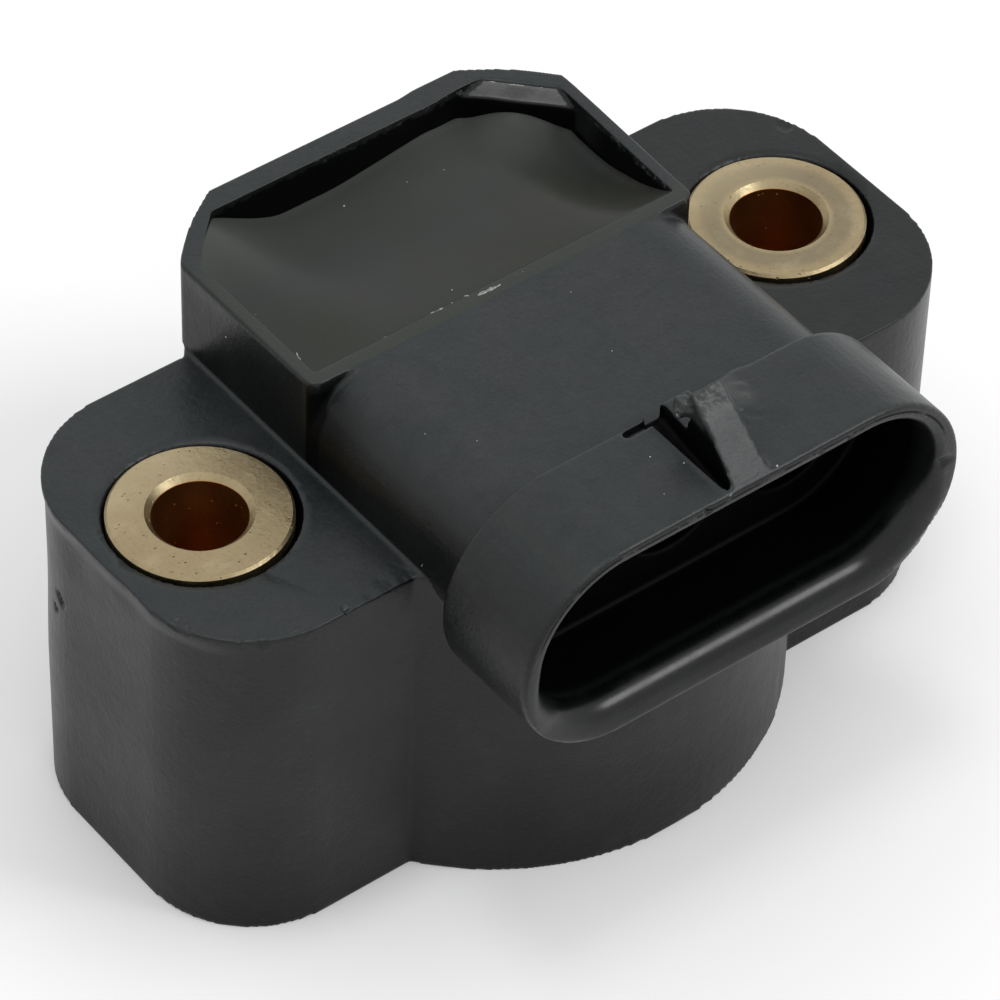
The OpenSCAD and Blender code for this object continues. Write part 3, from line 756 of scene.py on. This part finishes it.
def shroud_end(point, x, y, z):
    """The shroud's right end stands out too, and takes a bit of the drum's foot down with it."""
    if y < -14.0 and x > SHROUD_STRAIGHT:
        aside = x - SHROUD_STRAIGHT
        rise = z - SHROUD_Z
        out = math.hypot(aside, rise)
        if out > 6.2:
            swell = SHROUD_SWELL*ease(aside/2.5)*ease((out - 6.2)/0.4)*min(0.85 - 0.5*rise/out, 1.0)
            point.co.x += aside/out*swell*MM
            point.co.z += rise/out*swell*MM


def ear_wall(point, x, y, z):
    """The left ear's wall falls back a little below its top edge."""
    if x < -23.5 and 9.0 < z < 22.5:
        back_off = EAR_HOLLOW*ease((22.5 - z)/1.2)*ease((z - 9.0)/8.0)*ease((-x - 23.5)/2.0)
        away = math.hypot(x + HOLE_X, y)
        if away > 5.9:
            point.co.x -= (x + HOLE_X)/away*back_off*MM
            point.co.y -= y/away*back_off*MM


def mouth_lip(point, x, y, z):
    """The mouth's inner edge is rounded, more below than above."""
    depth = y - MOUTH_Y
    if depth >= 1.6:
        return
    aside = max(abs(x) - PITCH, 0.0)
    rise = z - SOCKET_Z
    out = math.hypot(aside, rise)
    if not SOCKET_R - 0.2 < out < SOCKET_R + 1.6:
        return
    low = ease((-rise/out + 0.1)/0.9)
    radius = LIP_TOP_R + LIP_MORE_BELOW*low
    beyond = out - SOCKET_R - radius
    deeper = depth - radius
    length = math.hypot(beyond, deeper)
    if beyond < 0 and deeper < 0 and length > radius - 0.3:
        new_out = SOCKET_R + radius + beyond*radius/length
        if aside > 0:
            x = math.copysign(PITCH + aside*new_out/out, x)
        z = SOCKET_Z + rise*new_out/out
        y = MOUTH_Y + (radius + deeper*radius/length)
        point.co = Vector((x, y, z))*MM


def seat_gap(point, x, y, z):
    """The gap round each bushing is wider at the right and in front, in a flat ear."""
    off = Vector((abs(x) - HOLE_X, y))
    if z > 22.05 and 5.0 < off.length < GAP_OUTER_R:
        turn = off.normalized()
        side = math.copysign(turn.x, x*turn.x)
        wider = 0.05 + 0.16*ease((side - turn.y + 1.0)/2.2)
        fade = ease((GAP_OUTER_R - off.length)/0.35)
        point.co.x += side*wider*fade*MM
        point.co.y += turn.y*wider*fade*MM
    if z > EAR_TOP - 0.3 and 5.3 < off.length < 5.95:
        point.co.z = EAR_TOP*MM


def torn_crest(point, x, y, z):
    """The ramp's crest is torn, and the plastic beside it is rough."""
    if -0.75 < x < 5.0 and -18.6 < y < -14.6 and z > 30.2 and (z > 32.0 or x > 1.5):
        torn = ease((y + 18.4)/0.9)*ease((5.0 - x)/2.5)*ease((x + 0.75)/0.3)
        rough = 0.07*ripple(point.co, 0.5, 7.0) + 0.06*ripple(point.co, 0.25, 9.0) - 0.02
        point.co = point.co + TORN_OUT*rough*torn*MM


clay = Clay(housing.data)
for point in clay.points:
    place = point.co/MM
    for form in (far_wall, shroud_end, ear_wall, mouth_lip, seat_gap, torn_crest):
        form(point, *place)
print("shaped", len(clay.points), "points")

# %% [markdown]
# ## Nicks, and a thinner skin
# Used mouldings are chipped where they were handled. Each nick is a place in the picture, in
# pixels from its left and top edges, with a reach and a depth in millimetres. A skin this dense
# is costly, so it is thinned to a seventh, apart from the forms that catch the light.

# %% Nicks
Nick = namedtuple("Nick", "across down reach depth rough", defaults=(0.5,))
LEFT_EDGE_CHIPS = (Nick(55, 595, 0.55, 0.35, 0.9), Nick(58, 603, 0.5, 0.4, 0.9),
                   Nick(53, 607, 0.45, 0.3, 0.9))
EAR_EDGE_CHIPS = (Nick(176, 625, 0.6, 0.35, 0.8), Nick(186, 630, 0.5, 0.3, 0.8),
                  Nick(262, 642, 0.5, 0.25, 0.8), Nick(238, 641, 0.4, 0.2, 0.8),
                  Nick(347, 609, 0.4, 0.2, 0.8))
EAR_WALL_DIPS = (Nick(72, 556, 2.6, 0.10, 0.2), Nick(128, 597, 2.2, 0.09, 0.2))
FAR_EDGE_CHIPS = (Nick(785, 126, 0.6, 0.3), Nick(944, 462, 0.5, 0.4))
EAR_CORNER_DIPS = (Nick(385, 583, 0.9, 0.10, 0.6), Nick(404, 574, 1.0, 0.12, 0.6),
                   Nick(372, 595, 0.7, 0.10, 0.6))
MOUTH_RIM_CHIPS = (Nick(708, 512, 0.35, 0.3), Nick(820, 454, 0.3, 0.25), Nick(850, 438, 0.3, 0.25))
NICKS = (LEFT_EDGE_CHIPS + EAR_EDGE_CHIPS + EAR_WALL_DIPS + FAR_EDGE_CHIPS + EAR_CORNER_DIPS
         + MOUTH_RIM_CHIPS)
for nick in NICKS:
    clay.dent(*nick)
print("nicks:", len(NICKS))


# %% Thinning
def stays_dense(place):
    """Whether a place lies on the lower lip, the far ledge or the torn ramp."""
    lip = place.y < -19.4*MM and place.z < 20.3*MM
    ledge = place.x + place.y > 20.8*MM and place.z > 27.9*MM
    ramp = -1.7*MM < place.x < 2.6*MM and place.y < -14.2*MM and place.z > 30.2*MM
    return lip or ledge or ramp


THINNED_TO = 0.14
kept = [p.index for p in clay.points if stays_dense(p.co)]
group = housing.vertex_groups.new(name="thinned")
group.add(range(len(clay.points)), 1.0, "REPLACE")
group.add(kept, 0.0, "REPLACE")
thin = housing.modifiers.new("thin", "DECIMATE")
thin.ratio = THINNED_TO
thin.vertex_group = "thinned"
applied(housing)
housing.data.shade_smooth()
print("housing skin:", sum(len(p.vertices) - 2 for p in housing.data.polygons), "triangles")

# %% [markdown]
# ## Potting
# Epoxy shrinks as it sets and climbs the walls it wets. In the picture it stands level with the
# rim at the left and in front, and has sunk by over two millimetres at the back, with a rounded
# foot along the wall. A fine grid is cut to the recess's outline, then each point is lowered.


# %% Potting
CAP_TOP = 28.7
POTTING_FOOT = 21.7
POTTING_WIDE = 24.9
POTTING_LONG = 14.0
FAR_WALL_Y = 13.85
RIGHT_WALL_X = 12.3


def sink(x, y):
    """How far the epoxy lies below the rim, all in mm."""
    across = ease((x + 11.2)/7.0)*(2.3 - 0.35*ease((x + 1.5)/5)*(1 - ease((x - 5)/4)))
    along = min(max((y - 0.15)/13.4, 0.0), 1.0)
    early = 1 - (1 - min(along*1.9, 1.0))**2.2
    steep = ease((x - 6.5)/6.0)
    fall = across*(along**1.15*(1 - steep) + early*steep)
    to_ledge = max((23.5 - x - y)/math.sqrt(2) - LEDGE_RUN, 0.0)
    to_wall = min(FAR_WALL_Y - y, to_ledge, RIGHT_WALL_X - x, (23.0 + x - y)/math.sqrt(2))
    climb = 0.8*math.exp(-max(to_wall, 0.0)/1.8)*min(fall/2, 1.0)
    climb -= 0.4*math.exp(-max(FAR_WALL_Y - y, 0.0)/1.8)*ease((6.0 - x)/4.0)*min(fall/2, 1.0)
    climb += 0.9*math.exp(-to_ledge/2.4 - ((x - y + 1.25)/3.6)**2)
    return max(fall*1.35 - climb, 0.0) + 0.03


potting = bmesh.new()
bmesh.ops.create_grid(potting, x_segments=140, y_segments=80, size=0.5,
                      matrix=Matrix.Translation((0, POTTING_LONG/2*MM, 0))
                      @ Matrix.Diagonal((POTTING_WIDE*MM, POTTING_LONG*MM, 1, 1)))
for direction, limit in (((1, 1, 0), 23.65), ((-1, 1, 0), 23.2)):
    direction = Vector(direction)
    bmesh.ops.bisect_plane(potting, geom=potting.verts[:] + potting.edges[:] + potting.faces[:],
                           plane_co=direction*limit/2*MM, plane_no=direction.normalized(),
                           clear_outer=True)
top = potting.faces[:]
below = bmesh.ops.extrude_face_region(potting, geom=top)["geom"]
for v in [g for g in below if isinstance(g, bmesh.types.BMVert)]:
    v.co.z = (CAP_TOP - sink(v.co.x/MM, v.co.y/MM))*MM
for v in {v for face in top for v in face.verts}:
    v.co.z = POTTING_FOOT*MM
bmesh.ops.recalc_face_normals(potting, faces=potting.faces)
potting = finished(potting, "potting_face", epoxy)
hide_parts("potting_fill")
print("potting:", len(potting.data.polygons), "faces")

# %% [markdown]
# ## Torn flash, chips, painted glints and lint
# Where the epoxy meets the neck, a thin skin of plastic has broken off in flakes, and a few
# specks of lint lie about. Paint could stand for them, but flakes that stand up a little catch
# the light. The pale strips along the far ledge's top edge and one on the rib behind the ramp's
# crest are painted highlights, and the burrs along the left ear's front edge are paler than the
# plastic as a painted edge highlight. Each is a small grid, tapered and ruffled, laid where the
# picture shows it. Places are pixels from the picture's left and top edges, and sizes are
# millimetres.


# %% Flakes, painted glints and specks
def pale_plastic(name, dark, light):
    f = Finish(name)
    fine = f.speckle(5200, 3, 0.7)
    colour = f.blend(fine.over(0.35, 0.3), dark + (1,), light + (1,))
    return f.surface(Base_Color=colour, Roughness=0.5 + fine*0.2, Normal=f.relief(fine, 0.00002),
                     Specular_IOR_Level=0.4)


def joined_surface(*pieces):
    """One searchable surface of several finished pieces."""
    points, faces = [], []
    for piece in pieces:
        first = len(points)
        points += [v.co.copy() for v in piece.data.vertices]
        faces += [[first + i for i in p.vertices] for p in piece.data.polygons]
    return bvhtree.BVHTree.FromPolygons(points, faces)


seen = joined_surface(housing, potting)


def ragged_strip(bm, start, end, width, lift, seed):
    """A ragged strip from one place in the picture to another, sizes in mm."""
    first, normal = touched(seen, *start)
    last, _ = touched(seen, *end)
    along = last - first
    side = normal.cross(along).normalized()
    for v in bmesh.ops.create_grid(bm, x_segments=16, y_segments=4, size=0.5)["verts"]:
        run, across = v.co.x + 0.5, v.co.y*2
        place = first + along*run
        wave = ripple(place, 0.3, seed)
        taper = (1 - (2*run - 1)**2)**0.5*(0.7 + 0.6*wave)
        rise = lift*(1 - across**2)*taper*(0.6 + 0.8*abs(ripple(place, 0.2, seed + 5))) - 0.02
        v.co = place + side*(across*taper + 0.3*wave)*width/2*MM + normal*rise*MM


def speck(bm, place, size, seed):
    """A grain of lint."""
    at, normal = touched(seen, *place)
    for v in bmesh.ops.create_icosphere(bm, subdivisions=2, radius=size/2*MM)["verts"]:
        v.co *= 1 + 0.6*noise.noise(v.co/(size*0.3*MM) + Vector((seed, 0, 0)))
        v.co += at


Strip = namedtuple("Strip", "start end width lift", defaults=(0.07, 0.02))
NECK_FLAKES = (
    Strip((381, 339), (392, 334), 0.10, 0.03), Strip((411, 323), (420, 319), 0.10, 0.03),
    Strip((423, 317), (427, 315), 0.12, 0.04), Strip((429, 314), (446, 307), 0.20, 0.06),
    Strip((463, 297), (472, 295), 0.28, 0.05), Strip((476, 296), (502, 284), 0.38, 0.10),
    Strip((512, 275), (528, 270), 0.12, 0.04), Strip((529, 270), (529, 258), 0.12, 0.04),
    Strip((523, 260), (531, 257), 0.10, 0.03), Strip((520, 297), (529, 299), 0.07, 0.02))
RIM_FLAKES = (
    Strip((254, 313), (261, 320), 0.09, 0.03), Strip((263, 323), (268, 328), 0.09, 0.03),
    Strip((296, 352), (300, 360), 0.16, 0.05), Strip((421, 568), (424, 561), 0.12, 0.06))
# Painted highlights: pale strips along the top edge of the recess's far ledge.
LEDGE_GLINTS = (
    Strip((486, 81), (508, 84), 0.10, 0.05), Strip((505, 84), (527, 86), 0.14, 0.05),
    Strip((530, 87), (549, 88), 0.10, 0.05))
# The last strip is a painted highlight on the rib behind the ramp's crest; the others are flakes.
STRAY_FLAKES_AND_GLINT = (
    Strip((726, 499), (733, 494), 0.16, 0.05), Strip((344, 455), (350, 452), 0.10, 0.03),
    Strip((676, 413), (678, 418), 0.14, 0.06))
# Burrs along the left ear's front edge, paler than the plastic as a painted edge highlight.
EAR_BURR_GLINTS = (
    Strip((187, 631), (214, 638)), Strip((213, 638), (240, 641)), Strip((274, 640), (306, 628)),
    Strip((305, 628), (338, 613)), Strip((337, 613), (367, 599)))
Grain = namedtuple("Grain", "across down size")
LINT = (
    Grain(344, 206, 0.16), Grain(444, 170, 0.10), Grain(407, 182, 0.08), Grain(571, 292, 0.09),
    Grain(612, 351, 0.11), Grain(425, 434, 0.10), Grain(477, 441, 0.12), Grain(452, 303, 0.12),
    Grain(452, 290, 0.10), Grain(777, 466, 0.18), Grain(684, 463, 0.12), Grain(650, 457, 0.12),
    Grain(664, 494, 0.08), Grain(226, 337, 0.12))
LINT_SCALE = 0.75

pale = pale_plastic("torn_plastic_and_glints", (0.10, 0.10, 0.10), (0.34, 0.34, 0.33))
flakes_and_glints = bmesh.new()
for number, strip in enumerate(NECK_FLAKES + RIM_FLAKES + LEDGE_GLINTS + STRAY_FLAKES_AND_GLINT):
    ragged_strip(flakes_and_glints, *strip, number*1.7)
flakes_and_glints = finished(flakes_and_glints, "torn_flakes_and_glints", pale, smooth_angle=180)
burr_glints = bmesh.new()
for number, strip in enumerate(EAR_BURR_GLINTS):
    ragged_strip(burr_glints, *strip, 40 + number*1.3)
# Paler than the plastic: a painted edge highlight.
burr_glint_finish = pale_plastic("burr_glint", (0.02, 0.022, 0.022), (0.10, 0.105, 0.105))
burr_glints = finished(burr_glints, "edge_burr_glints", burr_glint_finish, smooth_angle=180)
lint = bmesh.new()
for number, grain in enumerate(LINT):
    speck(lint, (grain.across, grain.down), grain.size*LINT_SCALE, number*2.3)
lint_finish = pale_plastic("lint", (0.25, 0.25, 0.24), (0.5, 0.5, 0.48))
lint = finished(lint, "lint", lint_finish, smooth_angle=180)
print("flakes and lint:", len(flakes_and_glints.data.polygons), len(lint.data.polygons), "faces")

# %% [markdown]
# ## Floor and light
# The picture shows the part on pure white. The world is white to the camera and to reflections.
# Its even light gives the soft shading, and two round lamps add the highlights on the recess's
# ledge and on the mouth's lower lip.

# %% Floor, world and light
floor_mesh = bpy.data.meshes.new("floor")
bm = bmesh.new()
bmesh.ops.create_grid(bm, x_segments=1, y_segments=1, size=4)
bm.to_mesh(floor_mesh)
bm.free()
floor = bpy.data.objects.new("floor", floor_mesh)
bpy.context.scene.collection.objects.link(floor)
floor_finish = Finish("floor_white")
floor_mesh.materials.append(floor_finish.surface(Base_Color=(0.94, 0.94, 0.94, 1), Roughness=0.9))

world = bpy.data.worlds.new("studio")
world.use_nodes = True
bpy.context.scene.world = world
tree = world.node_tree
sky = tree.nodes["Background"]
sky.inputs["Color"].default_value = (1, 1, 1, 1)
rays = tree.nodes.new("ShaderNodeLightPath")
seen_rays = tree.nodes.new("ShaderNodeMath")
seen_rays.operation = "MAXIMUM"
tree.links.new(rays.outputs["Is Camera Ray"], seen_rays.inputs[0])
tree.links.new(rays.outputs["Is Glossy Ray"], seen_rays.inputs[1])
level = tree.nodes.new("ShaderNodeMapRange")
level.inputs["To Min"].default_value = 0.88
level.inputs["To Max"].default_value = 1.0
tree.links.new(seen_rays.outputs[0], level.inputs["Value"])
tree.links.new(level.outputs[0], sky.inputs["Strength"])


def soft_light(name, place, size, power):
    lamp = bpy.data.lights.new(name, "AREA")
    lamp.shape = "DISK"
    lamp.size = size
    lamp.energy = power
    light = bpy.data.objects.new(name, lamp)
    light.location = place
    light.rotation_euler = (LOOK_AT - Vector(place)).to_track_quat("-Z", "Y").to_euler()
    bpy.context.scene.collection.objects.link(light)


soft_light("above_ledge", place=(-0.068, -0.004, 0.595), size=0.12, power=0.36)
soft_light("above_lip", place=(0.268, -0.318, 0.434), size=0.2, power=0.95)
bpy.context.scene.view_settings.view_transform = "Standard"
print("stage ready")
